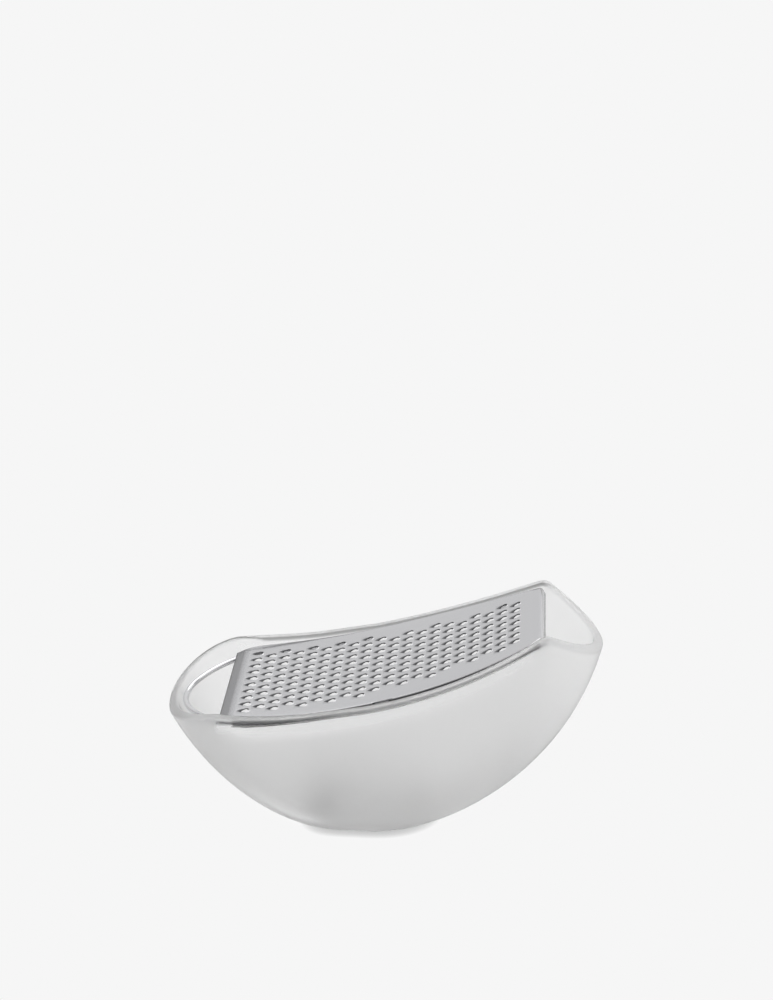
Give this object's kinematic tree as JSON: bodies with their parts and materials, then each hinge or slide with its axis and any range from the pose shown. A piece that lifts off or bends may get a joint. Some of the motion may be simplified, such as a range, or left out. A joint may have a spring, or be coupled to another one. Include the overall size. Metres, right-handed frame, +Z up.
{
  "type": "parmesan grater",
  "caption": "Boat-shaped frosted container with a curved steel grating plate over its mouth, a wire bow in the pouring lip and an open heel; the plate lifts out to empty the container.",
  "frame": {"origin": "on the table, under the middle of the container's length and width", "axes": "+Z up; X along the length, from the low pouring mouth (-) to the high heel (+); Y across"},
  "size_m": [0.1504, 0.061, 0.0828],
  "materials": {
    "frosted_resin": "translucent ice-grey thermoplastic, frosted outside, polished along the rim",
    "satin_steel": "pressed stainless sheet with a satin face",
    "bright_steel": "polished round stainless wire"
  },
  "bodies": {
    "container": {"container": "frosted_resin"},
    "insert": {"grating_plate": "satin_steel", "wire_loop": "bright_steel"}
  },
  "joints": [
    {"name": "insert_lift", "type": "slide", "parent": "container", "child": "insert", "axis": [0, 0, 1], "range_m": [0, 0.045]}
  ]
}
